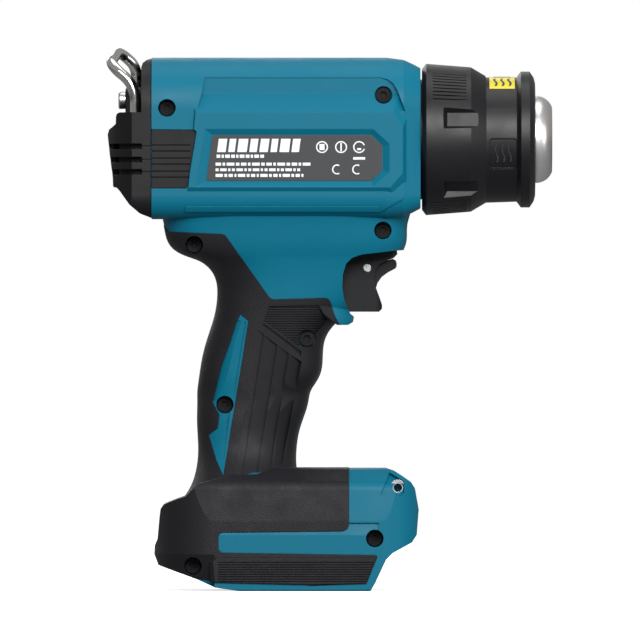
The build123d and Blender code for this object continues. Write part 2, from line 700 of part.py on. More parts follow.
with BuildPart() as rear_cover:
    add(cover_form(0))
    hollow = cover_form(COVER_WALL) + block((COVER_FRONT - 3, -26, 153), (COVER_FRONT + 3, 26, 205))
    add(hollow, mode=Mode.SUBTRACT)
    lugs = block((-84.4, -18, 182.6), (COVER_FRONT, 18, 190.6)) & cover_form(0.1)
    add(lugs)
    for side in (-1, 1):
        low, high = sorted((side * LUG_HALF, side * (LUG_HALF + SLOT_WIDTH)))
        add(block((-95, low, 184.4), (COVER_REAR + 0.1, high, 200)), mode=Mode.SUBTRACT)
        low, high = sorted((side * (LUG_HALF - 2.4), side * (LUG_HALF + 1)))
        pivot = cross_rod(RING_PIVOT_X, RING_PIVOT_Z, RING_WIRE_R + RUNNING_GAP, low, high)
        add(pivot, mode=Mode.SUBTRACT)
    for height in SIDE_VENTS:
        for side in (-1, 1):
            low, high = sorted((side * 14.5, side * 40))
            add(block((-95, low, height - 1.1), (-74.4, high, height + 1.1)), mode=Mode.SUBTRACT)
        line = [(-75, height - VENT_LINE / 2), (-70, height - VENT_LINE / 2),
                (-70, height + VENT_LINE / 2), (-75, height + VENT_LINE / 2)]
        add(side_slab(line, BARREL_HALF - VENT_LINE_DEPTH, 40), mode=Mode.SUBTRACT)
    for height in REAR_VENTS:
        for side in (-1, 1):
            low, high = sorted((side * 5.5, side * 17))
            add(block((-77, low, height - 0.9), (-60, high, height + 0.9)), mode=Mode.SUBTRACT)
    dial_hole = Cylinder(DIAL_R + 0.4, 20, rotation=(0, 90, 0), mode=Mode.PRIVATE)
    add(dial_hole.moved(Location((-84, 0, DIAL_Z))), mode=Mode.SUBTRACT)
    screw_hole = Cylinder(1.55, 14, rotation=(0, 90, 0), mode=Mode.PRIVATE)
    add(screw_hole.moved(Location((-72, 0, 196))), mode=Mode.SUBTRACT)
rear_cover.part.label = "rear_cover"
export_step(rear_cover.part, "parts/rear_cover.step")

BRACKET_REAR = -81.2
with BuildPart() as ring_bracket:
    with BuildSketch(Plane.YZ.offset(BRACKET_REAR)):
        with BuildLine():
            Polyline((5.6, LEDGE_Z + 4.6), (5.6, LEDGE_Z + 0.02), (-5.6, LEDGE_Z + 0.02),
                     (-5.6, LEDGE_Z + 4.6))
            ThreePointArc((5.6, LEDGE_Z + 4.6), (0, LEDGE_Z + 10.2), (-5.6, LEDGE_Z + 4.6))
        make_face()
    extrude(amount=COVER_REAR - 0.02 - BRACKET_REAR)
    fillet(faces().sort_by(Axis.X)[0].edges().filter_by(GeomType.CIRCLE), 0.8)
    add(screw_hole.moved(Location((-78, 0, 196))), mode=Mode.SUBTRACT)
ring_bracket.part.label = "ring_bracket"
export_step(ring_bracket.part, "parts/ring_bracket.step")

with BuildPart() as bracket_screw:
    with BuildSketch(Plane.YZ.offset(BRACKET_REAR - 2.8)):
        with Locations((0, 196)):
            Circle(3.6)
    extrude(amount=2.78)
    fillet(edges().group_by(Axis.X)[0], 0.7)
    with BuildSketch(Plane.YZ.offset(BRACKET_REAR - 0.02)):
        with Locations((0, 196)):
            Circle(1.5)
    extrude(amount=10)
    with BuildSketch(Plane.YZ.offset(BRACKET_REAR - 3)):
        with Locations((0, 196)):
            Rectangle(4.4, 0.9)
            Rectangle(0.9, 4.4)
    extrude(amount=1.4, mode=Mode.SUBTRACT)
bracket_screw.part.label = "bracket_screw"
export_step(bracket_screw.part, "parts/bracket_screw.step")

# The ring is bent from one wire; its left leg is longer, so the loop leans to one side.
RING_ROUTE = [
    (RING_PIVOT_X, -LUG_HALF + 2.2, RING_PIVOT_Z),
    (RING_PIVOT_X, -RING_HALF, RING_PIVOT_Z),
    (RING_PIVOT_X, -RING_HALF, 201.6),
    (-87.4, -8.8, 210.2),
    (-84.2, 8.8, 216.0),
    (-77.0, RING_HALF, 209.4),
    (RING_PIVOT_X, RING_HALF, RING_PIVOT_Z),
    (RING_PIVOT_X, LUG_HALF - 2.2, RING_PIVOT_Z),
]
RING_BENDS = [2.3, 13.0, 7.0, 6.0, 7.5, 2.3]
with BuildPart() as hanging_ring:
    with BuildLine() as route:
        FilletPolyline(*RING_ROUTE, radius=RING_BENDS)
    with BuildSketch(Plane(origin=route.line @ 0, z_dir=route.line % 0)):
        Circle(RING_WIRE_R)
    sweep()
hanging_ring.part.label = "hanging_ring"
export_step(hanging_ring.part, "parts/hanging_ring.step")

with BuildPart() as temperature_dial:
    with BuildSketch(Plane.YZ.offset(-86.2)):
        with Locations((0, DIAL_Z)):
            Circle(DIAL_R)
    extrude(amount=7)
    fillet(edges().group_by(Axis.X)[0], 0.8)
    knurl = Cylinder(0.6, 20, rotation=(0, 90, 0), mode=Mode.PRIVATE)
    for count in range(24):
        turn = 2 * pi * count / 24
        spot = (-86.2, DIAL_R * cos(turn), DIAL_Z + DIAL_R * sin(turn))
        add(knurl.moved(Location(spot)), mode=Mode.SUBTRACT)
    with BuildSketch(Plane.YZ.offset(-86.3)):
        with Locations((0, DIAL_Z + 4.6)):
            Rectangle(1.2, 5)
    extrude(amount=0.8, mode=Mode.SUBTRACT)
    with BuildSketch(Plane.YZ.offset(-79.3)):
        with Locations((0, DIAL_Z)):
            Circle(2)
    extrude(amount=4)
temperature_dial.part.label = "temperature_dial"
export_step(temperature_dial.part, "parts/temperature_dial.step")

with BuildPart() as dial_switch:
    add(block((-78.6, -7, DIAL_Z - 7), (-66, 7, DIAL_Z + 7)))
    spindle_hole = Cylinder(2 + RUNNING_GAP, 8, rotation=(0, 90, 0), mode=Mode.PRIVATE)
    add(spindle_hole.moved(Location((-78.6, 0, DIAL_Z))), mode=Mode.SUBTRACT)
dial_switch.part.label = "dial_switch"
export_step(dial_switch.part, "parts/dial_switch.step")


# ---- nozzle end ---------------------------------------------------------------------------
COVER_PROFILE = [
    (37.4, 28.2), (39.0, 30.3), (56.9, 28.9), (63.0, 25.3), (75.2, 24.9), (76.9, 27.2),
    (80.4, 27.2), (82.0, 24.8), (82.6, 22.6), (82.6, 19.6), (78.6, 19.4), (77.0, 22.2),
    (50.2, 22.2), (48.2, 25.9), (37.4, 25.9),
]
# finger pockets and grip ribs, in degrees up from the tool's right
POCKETS_AT = [16.5, -43.5, 163.5, 223.5]
POCKET_FLOOR = 27.2
RIB_STEP = 3.55
RIB_PADS = [(46.5, 4), (133.5, 4), (-90.0, 9)]  # middle of each pad, ribs to each side of it
RIB_GROOVE = 0.3


def square_round_axis(rear, front, half):
    """Corners of a rectangle beside the air path, as seen from the tool's right."""
    return [(rear, AXIS_Z - half), (front, AXIS_Z - half), (front, AXIS_Z + half),
            (rear, AXIS_Z + half)]


def arc_cutter(rear, front, floor, arc):
    """A band of the given depth that starts at the top and runs down over the tool's right."""
    with BuildPart() as cutter:
        with BuildSketch(Plane.XZ):
            with BuildLine():
                Polyline((rear, AXIS_Z + floor), (front, AXIS_Z + floor), (front, AXIS_Z + 27),
                         (rear, AXIS_Z + 27), close=True)
            make_face()
        revolve(axis=AIR_AXIS, revolution_arc=arc)
    return cutter.part


STICKER_SEAT_R = 24.86  # radius the sticker's seat is cut down to
with BuildPart() as icon_pocket:
    add(arc_cutter(64.1, 75.2, 24.1, 28.9))
    radial = edges().filter_by(GeomType.LINE) - edges().filter_by(Axis.X)
    fillet(radial, 1.5)

with BuildPart() as nozzle_cover:
    add(turned(COVER_PROFILE))
    pocket = tapered_slab(square_round_axis(44.4, 62, 6.35), square_round_axis(47.35, 62, 2.8),
                          32, POCKET_FLOOR)
    for angle in POCKETS_AT:
        add(around_air(pocket, angle), mode=Mode.SUBTRACT)
    groove = block((41.6, -32, AXIS_Z - RIB_GROOVE), (55.0, -28.6, AXIS_Z + RIB_GROOVE))
    for middle, reach in RIB_PADS:
        for step in range(-reach, reach + 1):
            add(around_air(groove, middle + RIB_STEP * step), mode=Mode.SUBTRACT)
    add(around_air(icon_pocket.part, -89.5), mode=Mode.SUBTRACT)
    seat = arc_cutter(62.8, 75.2, STICKER_SEAT_R, 121.4)
    add(around_air(seat, 60.7), mode=Mode.SUBTRACT)
nozzle_cover.part.label = "nozzle_cover"
export_step(nozzle_cover.part, "parts/nozzle_cover.step")

STICKER_ARC = 72.6
with BuildPart() as heat_sticker:
    with BuildSketch(Plane.XZ):
        with BuildLine():
            Polyline((64.3, AXIS_Z + 24.90), (74.4, AXIS_Z + 24.90), (74.4, AXIS_Z + 25.05),
                     (64.3, AXIS_Z + 25.05), close=True)
        make_face()
    revolve(axis=AIR_AXIS, revolution_arc=STICKER_ARC)
sticker = heat_sticker.part.rotate(AIR_AXIS, -STICKER_ARC / 2)
sticker.label = "heat_sticker"
export_step(sticker, "parts/heat_sticker.step")

with BuildPart() as bayonet_ring:
    add(turned([(36.75, 18.6), (46.0, 18.6), (46.0, 24.0), (36.75, 24.0)]))
    bayonet_lug = block((42.8, -25.2, AXIS_Z - 4), (45.8, -22, AXIS_Z + 4))
    for count in range(3):
        add(around_air(bayonet_lug, 120 * count))
bayonet_ring.part.label = "bayonet_ring"
export_step(bayonet_ring.part, "parts/bayonet_ring.step")

with BuildPart() as nozzle_tube:
    with BuildSketch(Plane.XZ):
        with BuildLine():
            Polyline((83.4, AXIS_Z + 16.5), (31.3, AXIS_Z + 16.5), (31.3, AXIS_Z + 20),
                     (32.7, AXIS_Z + 20), (32.7, AXIS_Z + NOZZLE_R), (83.4, AXIS_Z + NOZZLE_R))
            ThreePointArc((83.4, AXIS_Z + NOZZLE_R), (87.5, AXIS_Z + 15.7), (NOZZLE_TIP, AXIS_Z + 12.9))
            Line((NOZZLE_TIP, AXIS_Z + 12.9), (88.6, AXIS_Z + 12.4))
            ThreePointArc((88.6, AXIS_Z + 12.4), (86.8, AXIS_Z + 15.1), (83.4, AXIS_Z + 16.5))
        make_face()
    revolve(axis=AIR_AXIS)
nozzle_tube.part.label = "nozzle_tube"
export_step(nozzle_tube.part, "parts/nozzle_tube.step")

with BuildPart() as heater_sleeve:
    add(turned([(8.2, 13.3), (80.0, 13.3), (80.0, 13.9), (8.2, 13.9)]))
heater_sleeve.part.label = "heater_sleeve"
export_step(heater_sleeve.part, "parts/heater_sleeve.step")

FORMER_HALF = 10.6
with BuildPart() as heater_former:
    add(block((10, -FORMER_HALF, AXIS_Z - 0.4), (76, FORMER_HALF, AXIS_Z + 0.4)))
    add(block((10, -0.4, AXIS_Z - FORMER_HALF), (76, 0.4, AXIS_Z + FORMER_HALF)))
heater_former.part.label = "heater_former"
export_step(heater_former.part, "parts/heater_former.step")

with BuildPart() as heating_coil:
    with BuildLine() as winding:
        Helix(pitch=5.2, height=57.2, radius=11.25, center=(14, 0, AXIS_Z), direction=(1, 0, 0))
    with BuildSketch(Plane(origin=winding.line @ 0, z_dir=winding.line % 0)):
        Circle(0.45)
    sweep(is_frenet=True)
heating_coil.part.label = "heating_coil"
export_step(heating_coil.part, "parts/heating_coil.step")


# ---- blower -------------------------------------------------------------------------------
MOTOR_REAR, MOTOR_FRONT, MOTOR_R = -56.0, -30.0, 14.0
FAN_R = 21.5
with BuildPart() as motor_can:
    add(turned([(MOTOR_REAR, 0), (MOTOR_FRONT, 0), (MOTOR_FRONT, MOTOR_R), (MOTOR_REAR, MOTOR_R)]))
    inside = turned([(MOTOR_REAR + 1.6, 0), (MOTOR_FRONT - 1.6, 0), (MOTOR_FRONT - 1.6, 12.6),
                     (MOTOR_REAR + 1.6, 12.6)])
    add(inside, mode=Mode.SUBTRACT)
    ends = turned([(MOTOR_REAR - 1, 0), (MOTOR_FRONT + 1, 0), (MOTOR_FRONT + 1, 3),
                   (MOTOR_REAR - 1, 3)])
    add(ends, mode=Mode.SUBTRACT)
motor_can.part.label = "motor_can"
export_step(motor_can.part, "parts/motor_can.step")

with BuildPart() as motor_bearings:
    for start in (MOTOR_REAR, MOTOR_FRONT - 2.4):
        add(turned([(start, SHAFT_R + RUNNING_GAP), (start + 2.4, SHAFT_R + RUNNING_GAP),
                    (start + 2.4, 2.98), (start, 2.98)]))
motor_bearings.part.label = "motor_bearings"
export_step(motor_bearings.part, "parts/motor_bearings.step")

with BuildPart() as motor_shaft:
    add(turned([(-58, 0), (-12, 0), (-12, SHAFT_R), (-58, SHAFT_R)]))
motor_shaft.part.label = "motor_shaft"
export_step(motor_shaft.part, "parts/motor_shaft.step")

with BuildPart() as armature:
    add(turned([(-51, SHAFT_R + 0.02), (-35, SHAFT_R + 0.02), (-35, 11.4), (-51, 11.4)]))
    winding_slot = block((-52, -12, AXIS_Z - 1), (-34, -6, AXIS_Z + 1))
    for count in range(5):
        add(around_air(winding_slot, 72 * count), mode=Mode.SUBTRACT)
armature.part.label = "armature"
export_step(armature.part, "parts/armature.step")

with BuildPart() as fan:
    add(turned([(-26, SHAFT_R + 0.02), (-13, SHAFT_R + 0.02), (-13, 4), (-18, 7), (-24.4, 9),
                (-24.4, FAN_R), (-26, FAN_R)]))
    blade = block((-25, -FAN_R, AXIS_Z - 0.6), (-17, -6.5, AXIS_Z + 0.6))
    blade = blade.rotate(Axis((0, -6.5, AXIS_Z), (1, 0, 0)), 22)
    for count in range(9):
        add(around_air(blade, 40 * count))
    add(turned([(-30, FAN_R), (-10, FAN_R), (-10, 30), (-30, 30)]), mode=Mode.SUBTRACT)
fan.part.label = "fan"
export_step(fan.part, "parts/fan.step")

with BuildPart() as fan_shroud:
    add(turned([(-28.4, 25), (-9, 25), (3, 17.2), (8.0, 17.2), (8.0, 14.2), (2.4, 14.2),
                (-10, 23.2), (-28.4, 23.2)]))
fan_shroud.part.label = "fan_shroud"
export_step(fan_shroud.part, "parts/fan_shroud.step")

with BuildPart() as controller_board:
    add(block((-58, -19, 153.2), (-32, 19, 154.8)))
    add(block((-55, -14, 154.7), (-47, -4, 160)))
    add(block((-44, 2, 154.7), (-36, 12, 158.5)))
    with Locations((-52, 8, 157.6)):
        Cylinder(3.2, 6)
controller_board.part.label = "controller_board"
export_step(controller_board.part, "parts/controller_board.step")


# ---- trigger group ------------------------------------------------------------------------
POCKET_SIDE = [
    (11.4, 125.6), (11.5, 131.8), (15.5, 132.6), (22.4, 132.0), (25.6, 132.9), (34, 132.9),
    (34, 119.2), (14, 119.2),
]
LEVER_SIDE = [
    (19.0, 120.8), (19.6, 122.8), (21.2, 125.1), (23.4, 126.8), (26.9, 128.7), (27.2, 129.4),
    (27.3, 130.6), (26.9, 131.8), (25.7, 132.5), (22.6, 131.4), (15.5, 131.8), (12.6, 129.4),
    (13, 127), (16.5, 121.6),
]


def rounded_post(front, low, high):
    """A column with rounded front corners that trims the trigger's finger face."""
    with BuildPart() as shape:
        with BuildSketch(Plane.XY.offset(low)):
            with Locations(((front - 5) / 2, 0)):
                Rectangle(front + 5, 2 * TRIGGER_HALF)
            fillet(vertices().group_by(Axis.X)[-1], 3.2)
        extrude(amount=high - low)
    return shape.part


with BuildPart() as trigger:
    add(side_prism(TRIGGER_SIDE, TRIGGER_HALF))
    add(rounded_post(21.6, 105, 126) + rounded_post(27.8, 126, 140), mode=Mode.INTERSECT)
    add(side_prism(POCKET_SIDE, LEVER_HALF + 0.4), mode=Mode.SUBTRACT)
    add(cross_rod(PIN_X, PIN_Z, PIN_R + RUNNING_GAP, -12, 12), mode=Mode.SUBTRACT)
    with BuildSketch(Plane(origin=STEM_START, x_dir=(0, 1, 0), z_dir=TRIGGER_DIR)):
        Circle(STEM_R)
    extrude(amount=STEM_LENGTH)
trigger.part.label = "trigger"
export_step(trigger.part, "parts/trigger.step")

with BuildPart() as lock_lever:
    add(side_prism(LEVER_SIDE, LEVER_HALF))
    add(cross_rod(PIN_X, PIN_Z, PIN_R + RUNNING_GAP, -12, 12), mode=Mode.SUBTRACT)
lock_lever.part.label = "lock_lever"
export_step(lock_lever.part, "parts/lock_lever.step")

with BuildPart() as lever_pin:
    add(cross_rod(PIN_X, PIN_Z, PIN_R, -TRIGGER_HALF - 0.1, TRIGGER_HALF + 0.1))
lever_pin.part.label = "lever_pin"
export_step(lever_pin.part, "parts/lever_pin.step")

with BuildPart() as switch_body:
    add(block((-33, -9, 108), (-7.6, 9, 130.5)))
    with BuildSketch(Plane(origin=STEM_START, x_dir=(0, 1, 0), z_dir=TRIGGER_DIR)):
        Circle(STEM_R + 0.3)
    extrude(amount=STEM_LENGTH + TRIGGER_TRAVEL + 2, mode=Mode.SUBTRACT)
switch_body.part.label = "switch_body"
export_step(switch_body.part, "parts/switch_body.step")


# ---- battery terminals and leads ----------------------------------------------------------
with BuildPart() as terminal_block:
    add(block((-46.6, -15.6, 5.0), (-34, 15.6, 24.6)))
    add(block((-46.6, -15.6, 12.0), (-16, 15.6, 24.6)))
    for y in (-9.5, 9.5):
        add(block((-37, y - 0.5, 4), (-15, y + 0.5, 13.2)), mode=Mode.SUBTRACT)
terminal_block.part.label = "terminal_block"
export_step(terminal_block.part, "parts/terminal_block.step")

with BuildPart() as battery_contacts:
    for y in (-9.5, 9.5):
        add(block((-37, y - 0.48, 6.5), (-20, y + 0.48, 13.2)))
battery_contacts.part.label = "battery_contacts"
export_step(battery_contacts.part, "parts/battery_contacts.step")

LEAD_R = 1.1
for y, name in ((-4, "power_lead_positive"), (4, "power_lead_negative")):
    route_points = [(-36, y, 24.62), (-36, y, 48), (-28, y, 78), (-22, y, 107.7)]
    with BuildPart() as lead:
        with BuildLine() as lead_route:
            FilletPolyline(*route_points, radius=[40, 60])
        with BuildSketch(Plane(origin=lead_route.line @ 0, z_dir=lead_route.line % 0)):
            Circle(LEAD_R)
        sweep()
    lead.part.label = name
    export_step(lead.part, "parts/" + name + ".step")
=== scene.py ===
"""Looks, light and camera for a cordless heat gun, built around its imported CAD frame.

Everything is in metres in the frame's own axes: +X along the air stream, +Y to the tool's
left, +Z up. The tool stands on z = 0 and its right side (-Y) faces the camera.
"""

import json
import math

import bmesh
import bpy
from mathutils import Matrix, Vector

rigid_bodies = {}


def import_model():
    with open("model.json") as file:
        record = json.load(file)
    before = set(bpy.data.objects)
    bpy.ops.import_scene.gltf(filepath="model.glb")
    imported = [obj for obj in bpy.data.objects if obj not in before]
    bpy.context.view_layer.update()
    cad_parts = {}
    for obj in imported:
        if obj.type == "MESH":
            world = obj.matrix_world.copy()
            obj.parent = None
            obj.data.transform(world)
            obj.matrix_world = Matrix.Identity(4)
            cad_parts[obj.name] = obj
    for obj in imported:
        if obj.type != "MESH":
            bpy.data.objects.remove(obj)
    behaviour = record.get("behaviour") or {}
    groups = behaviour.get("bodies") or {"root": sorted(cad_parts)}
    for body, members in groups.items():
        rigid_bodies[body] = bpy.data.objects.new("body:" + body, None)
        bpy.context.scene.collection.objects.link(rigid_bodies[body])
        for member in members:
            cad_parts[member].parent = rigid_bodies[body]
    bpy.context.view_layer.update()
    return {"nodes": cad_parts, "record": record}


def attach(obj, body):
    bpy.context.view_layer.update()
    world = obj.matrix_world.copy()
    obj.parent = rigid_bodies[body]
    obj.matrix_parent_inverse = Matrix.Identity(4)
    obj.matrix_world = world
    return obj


for leftover in list(bpy.data.objects):
    bpy.data.objects.remove(leftover)

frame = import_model()
nodes = frame["nodes"]
scene = bpy.context.scene
MM = 0.001


# ---- camera -------------------------------------------------------------------------------
CAMERA_DISTANCE = 8.0
FRAME_WIDTH = 0.256  # how much of the tool's plane the picture is wide
SENSOR = 36.0

camera_data = bpy.data.cameras.new("camera")
camera_data.sensor_width = SENSOR
camera_data.lens = SENSOR * CAMERA_DISTANCE / FRAME_WIDTH
camera = bpy.data.objects.new("camera", camera_data)
scene.collection.objects.link(camera)
camera.location = (-0.0034, -CAMERA_DISTANCE, 0.108)
camera.rotation_euler = (math.radians(90), 0, 0)
scene.camera = camera


# ---- materials ----------------------------------------------------------------------------
def srgb(red, green, blue):
    """A colour given as 0-255 display values, turned into linear light."""
    values = [c / 255 for c in (red, green, blue)]
    return [c / 12.92 if c <= 0.04045 else ((c + 0.055) / 1.055) ** 2.4 for c in values] + [1.0]


def shaded(colour, factor):
    """The same colour made lighter or darker."""
    return [min(1.0, c * factor) for c in colour[:3]] + [1.0]


class Look:
    """One procedural material. Its patterns lie in the piece's own coordinates."""

    def __init__(self, name, **sockets):
        self.material = bpy.data.materials.new(name)
        self.material.use_nodes = True
        self.tree = self.material.node_tree
        self.shader = self.tree.nodes["Principled BSDF"]
        self.place = self.node("TexCoord").outputs["Object"]
        for socket, value in sockets.items():
            self.set(socket.replace("_", " "), value)

    def set(self, socket, value):
        """Give a shader socket a value or another node's output."""
        self.feed(self.shader, {socket: value})

    def feed(self, node, inputs):
        for socket, value in inputs.items():
            if isinstance(value, bpy.types.NodeSocket):
                self.tree.links.new(value, node.inputs[socket])
            else:
                node.inputs[socket].default_value = value

    def node(self, kind, inputs=None, **settings):
        made = self.tree.nodes.new("ShaderNode" + kind)
        for setting, value in settings.items():
            setattr(made, setting, value)
        self.feed(made, inputs or {})
        return made

    def noise(self, scale, detail=3.0, roughness=0.5, place=None):
        inputs = {"Scale": scale, "Detail": detail, "Roughness": roughness}
        inputs["Vector"] = place or self.place
        return self.node("TexNoise", inputs).outputs[0]

    def cells(self, scale, place=None, feature="F1"):
        inputs = {"Scale": scale, "Vector": place or self.place}
        return self.node("TexVoronoi", inputs, feature=feature).outputs["Distance"]

    def maths(self, operation, first, second=0.0):
        return self.node("Math", {0: first, 1: second}, operation=operation).outputs[0]

    def fit(self, value, low, high, to_low=0.0, to_high=1.0):
        """Map a value from one range to another, clamped."""
        inputs = {"Value": value, "From Min": low, "From Max": high}
        inputs.update({"To Min": to_low, "To Max": to_high})
        return self.node("MapRange", inputs).outputs[0]

    def mix(self, share, first, second):
        made = self.node("Mix", data_type="RGBA")
        self.feed(made, {0: share, 6: first, 7: second})
        return made.outputs[2]

    def stretched(self, along):
        """The piece's coordinates, scaled by a different factor along each axis."""
        return self.node("Mapping", {"Vector": self.place, "Scale": along}).outputs[0]

    def axes(self):
        return self.node("SeparateXYZ", {0: self.place}).outputs

    def rounded(self, radius):
        """Normals that round the piece's sharp edges over a small radius."""
        return self.node("Bevel", {"Radius": radius}, samples=4).outputs[0]

    def edges(self, rounded):
        """1 along sharp edges and 0 on open faces, from the rounded normals."""
        flat = self.node("NewGeometry").outputs["Normal"]
        turn = self.node("VectorMath", {0: rounded, 1: flat}, operation="DOT_PRODUCT")
        return self.fit(turn.outputs["Value"], 0.995, 0.80)

    def bump(self, height, depth, strength=1.0, normal=None):
        inputs = {"Height": height, "Distance": depth, "Strength": strength}
        if normal:
            inputs["Normal"] = normal
        return self.node("Bump", inputs).outputs[0]


def moulded(name, colour, rough=(0.38, 0.5), grain=2400, depth=0.02, edge=0.35, radius=0.35,
            specular=0.5):
    """Moulded plastic: a fine spark-eroded grain, slow colour drift and edges rubbed lighter."""
    look = Look(name, Specular_IOR_Level=specular)
    rounded = look.rounded(radius * MM)
    wear = look.maths("MULTIPLY", look.edges(rounded), look.fit(look.noise(260, 4), 0.35, 0.7))
    drift = look.mix(look.noise(28, 2), shaded(colour, 0.93), shaded(colour, 1.07))
    flecks = look.mix(look.fit(look.noise(grain * 1.7, 1), 0.35, 0.75), shaded(colour, 0.9), drift)
    lighter = [min(1.0, c * 1.7 + 0.015) for c in colour[:3]] + [1.0]
    worn = look.maths("MULTIPLY", wear, edge)
    look.set("Base Color", look.mix(worn, flecks, lighter))
    shine = look.fit(look.noise(90, 4), 0.3, 0.7, rough[0], rough[1])
    look.set("Roughness", look.maths("SUBTRACT", shine, look.maths("MULTIPLY", wear, 0.08)))
    dimples = look.maths("MULTIPLY", look.cells(grain * 0.8), 0.5)
    pits = look.maths("ADD", look.noise(grain, 2), dimples)
    look.set("Normal", look.bump(pits, depth * MM, 0.7, rounded))
    return look


PAD_LEAN, PAD_START = 0.157, -0.0425  # the palm pad's rear edge: x = lean * z + start


def rubber(name, colour):
    """Soft overmould: leather grain on the back of the grip, fine matt skin on the palm pads."""
    look = Look(name, Specular_IOR_Level=0.24, Sheen_Weight=0.03, Sheen_Roughness=0.4)
    rounded = look.rounded(0.4 * MM)
    x, _, z = look.axes()
    pad_line = look.maths("ADD", look.maths("MULTIPLY", z, PAD_LEAN), PAD_START)
    behind_pads = look.fit(look.maths("SUBTRACT", x, pad_line), -0.0005, 0.0005, 1.0, 0.0)
    above_pads = look.fit(z, 0.1130, 0.1145)
    around_pads = look.maths("MAXIMUM", behind_pads, above_pads)
    grained = look.maths("MAXIMUM", around_pads, look.fit(z, 0.05, 0.045))
    creases = look.fit(look.cells(1150, feature="DISTANCE_TO_EDGE"), 0.0, 0.22)
    pebbles = look.maths("ADD", creases, look.maths("MULTIPLY", look.noise(1900, 3), 0.7))
    fine = look.maths("MULTIPLY", look.noise(5200, 2), 0.25)
    height = look.node("Mix", {0: grained, 2: fine, 3: pebbles}).outputs[0]
    wear = look.maths("MULTIPLY", look.edges(rounded), look.fit(look.noise(300, 3), 0.3, 0.7))
    tone = look.mix(look.noise(45, 3), shaded(colour, 0.86), shaded(colour, 1.14))
    tone = look.mix(look.maths("MULTIPLY", grained, 0.55), tone, shaded(colour, 1.45))
    tone = look.mix(look.maths("MULTIPLY", wear, 0.4), tone, shaded(colour, 2.4))
    look.set("Base Color", tone)
    look.set("Roughness", look.fit(look.noise(130, 4), 0.3, 0.7, 0.5, 0.64))
    look.set("Normal", look.bump(height, 0.05 * MM, 0.75, rounded))
    return look


def metal(name, colour, rough, streaks=(1.0, 1.0, 1.0), scale=900, depth=0.004, radius=0.15):
    """Bare or plated metal with fine directional marks and faint tarnish."""
    look = Look(name, Metallic=1.0)
    rounded = look.rounded(radius * MM)
    marks = look.noise(scale, 5, 0.6, look.stretched(streaks))
    tarnish = look.fit(look.noise(150, 4), 0.4, 0.75)
    faint = look.maths("MULTIPLY", tarnish, 0.3)
    look.set("Base Color", look.mix(faint, colour, shaded(colour, 0.72)))
    look.set("Roughness", look.fit(look.maths("ADD", marks, faint), 0.3, 1.0, *rough))
    look.set("Normal", look.bump(marks, depth * MM, 0.5, rounded))
    return look


AXIS_HEIGHT = 0.1802  # of the air stream's axis above the floor
TINT_AND_HIGHLIGHT_FROM, TINT_AND_HIGHLIGHT_TO = 0.082, 0.0915  # along X, where the steel's colour ramp starts and ends: first a painted highlight, a band lighter than the bare steel, then heat tint towards the tip


def turned_steel(name, colour):
    """Polished tube with rings left by turning; towards the tip a painted highlight, a band
    lighter than the bare steel, then a straw and blue heat tint.
    """
    look = Look(name, Metallic=1.0)
    rounded = look.rounded(0.25 * MM)
    x, y, z = look.axes()
    up = look.maths("SUBTRACT", z, AXIS_HEIGHT)
    squares = look.maths("ADD", look.maths("MULTIPLY", y, y), look.maths("MULTIPLY", up, up))
    ring_place = look.node("CombineXYZ", {0: x, 1: look.maths("SQRT", squares)}).outputs[0]
    rings = look.noise(5200, 4, 0.6, ring_place)
    smears = look.noise(90, 4, 0.6)
    waver = look.maths("MULTIPLY", look.noise(60, 2), 0.004)
    heat_and_highlight_share = look.fit(look.maths("ADD", x, waver), TINT_AND_HIGHLIGHT_FROM, TINT_AND_HIGHLIGHT_TO)
    heat_tint_and_highlight = look.node("ValToRGB", {0: heat_and_highlight_share})
    stops = heat_tint_and_highlight.color_ramp.elements
    stops[0].color = colour
    stops[1].position, stops[1].color = 1.0, (0.55, 0.54, 0.60, 1.0)
    # The stop lighter than the bare steel is a painted highlight; the warm and blue stops are heat
    # tint.
    for position, shade in ((0.45, (0.82, 0.81, 0.80, 1.0)), (0.8, (0.70, 0.67, 0.64, 1.0))):
        stops.new(position).color = shade
    smeared = look.fit(smears, 0.4, 0.8, 0.0, 0.3)
    look.set("Base Color", look.mix(smeared, heat_tint_and_highlight.outputs[0], shaded(colour, 0.7)))
    look.set("Roughness", look.fit(look.maths("ADD", rings, smears), 0.7, 1.3, 0.27, 0.42))
    look.set("Normal", look.bump(rings, 0.006 * MM, 0.5, rounded))
    return look


def film(name, colour, rough):
    """Printed or laminated film: nearly smooth, with orange peel and a few scuffs."""
    look = Look(name, Coat_Weight=0.25, Coat_Roughness=0.12)
    look.set("Base Color", look.mix(look.noise(70, 3), shaded(colour, 0.92), shaded(colour, 1.08)))
    scuffs = look.fit(look.noise(600, 5, 0.7, look.stretched((1.0, 1.0, 6.0))), 0.55, 0.8)
    look.set("Roughness", look.fit(scuffs, 0.0, 1.0, rough, rough + 0.2))
    look.set("Normal", look.bump(look.noise(900, 2), 0.004 * MM, 0.5))
    return look


def layered(name, colour, second, scale, rough):
    """Mica, board laminate and similar sheet: two tones broken up in flakes."""
    look = Look(name)
    flakes = look.fit(look.cells(scale), 0.2, 0.7)
    tone = look.mix(flakes, colour, second)
    dirt = look.maths("MULTIPLY", look.noise(80, 4), 0.5)
    look.set("Base Color", look.mix(dirt, tone, shaded(colour, 0.6)))
    look.set("Roughness", look.fit(look.noise(300, 3), 0.3, 0.7, rough, rough + 0.2))
    look.set("Normal", look.bump(flakes, 0.02 * MM, 0.5))
    return look


